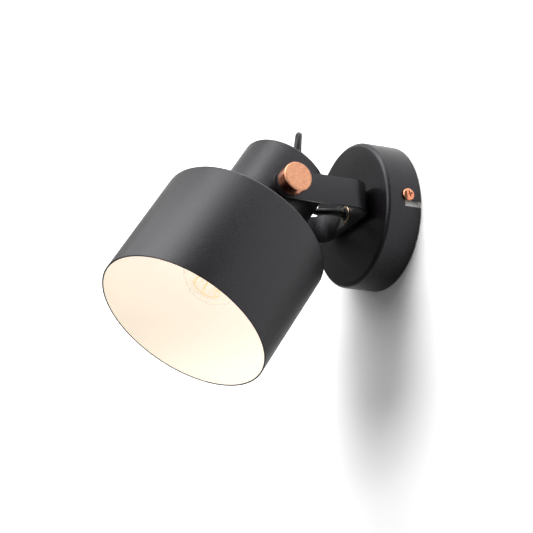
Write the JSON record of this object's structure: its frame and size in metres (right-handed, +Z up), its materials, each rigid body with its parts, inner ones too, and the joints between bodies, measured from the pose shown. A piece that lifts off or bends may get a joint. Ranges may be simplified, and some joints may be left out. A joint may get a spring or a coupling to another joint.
{
  "type": "wall spotlight",
  "caption": "Adjustable wall spotlight: round canopy, swivelling strip yoke and a drum shade that tilts between two thumb knobs, with a screw-cap lamp.",
  "frame": {"origin": "on the wall plane at the centre of the canopy, midway between the two wall screw slots", "axes": "+Z up, +Y into the wall, the room towards -Y, +X to the right for someone facing the wall; the tilt axis runs along X"},
  "size_m": [0.1186, 0.2039, 0.1856],
  "materials": {
    "black_paint": "fine matt powder coat",
    "copper": "brushed copper plating",
    "zinc": "zinc plated",
    "steel": "plain",
    "tin": "tinned",
    "brass": "turned brass",
    "black_rubber": "matt",
    "black_nylon": "fine matt",
    "nylon": "satin",
    "black_holder": "moulded",
    "white_holder": "moulded",
    "porcelain": "glazed ceramic",
    "wire_brown": "pvc",
    "wire_blue": "pvc",
    "wire_green": "pvc",
    "clear_glass": "clear",
    "cap_metal": "rolled sheet",
    "cap_black": "vitrite",
    "filament": "phosphor coating"
  },
  "bodies": {
    "wall": {"wall_bracket": "zinc", "earth_screw": "brass", "earth_lug": "tin", "terminal_block": "nylon", "pole_tubes": "brass", "clamp_screws": "zinc", "block_screw": "zinc", "wire_live": "wire_brown", "wire_neutral": "wire_blue", "wire_earth": "wire_green", "canopy": "black_paint", "canopy_screws": "copper", "front_nipple": "copper", "lead_grommet": "black_rubber", "wave_washer": "zinc", "canopy_nut": "brass", "stop_pin": "steel"},
    "yoke": {"yoke": "black_paint", "swivel_disc": "black_nylon", "knob_washers": "black_rubber", "lamp_lead": "black_rubber", "lead_collar": "nylon"},
    "head": {"neck_cup": "black_paint", "tilt_bushes": "steel", "rear_nipple": "brass", "cord_grip": "black_nylon", "cup_nut": "brass", "lampholder": "black_holder", "holder_shell": "brass", "holder_contact": "porcelain", "holder_screws": "zinc", "head_wires": "wire_brown", "shade": "black_paint", "shade_back": "black_paint", "shade_ring": "white_holder"},
    "bulb": {"bulb_glass": "clear_glass", "bulb_cap": "cap_metal", "cap_insulator": "cap_black", "cap_contact": "tin", "bulb_stem": "clear_glass", "filaments": "filament"},
    "knob_right": {"knob_right": "copper", "stud_right": "steel"},
    "knob_left": {"knob_left": "copper", "stud_left": "steel"}
  },
  "joints": [
    {"name": "yoke_swivel", "type": "hinge", "parent": "wall", "child": "yoke", "pos_m": [0, -0.0285, 0], "axis": [0, 1, 0], "range_deg": [-150, 150]},
    {"name": "head_tilt", "type": "hinge", "parent": "yoke", "child": "head", "pos_m": [0, -0.0915, 0], "axis": [1, 0, 0], "range_deg": [-75, 35.5], "deforming": ["lamp_lead"]},
    {"name": "knob_right_turn", "type": "hinge", "parent": "head", "child": "knob_right", "pos_m": [0.044, -0.0915, 0], "axis": [1, 0, 0], "range_deg": [0, 360]},
    {"name": "knob_left_turn", "type": "hinge", "parent": "head", "child": "knob_left", "pos_m": [-0.044, -0.0915, 0], "axis": [-1, 0, 0], "range_deg": [0, 360]},
    {"name": "bulb_turn", "type": "hinge", "parent": "head", "child": "bulb", "pos_m": [0, -0.12054, -0.04071], "axis": [0, -0.5807, -0.8141], "range_deg": [0, 360]}
  ]
}
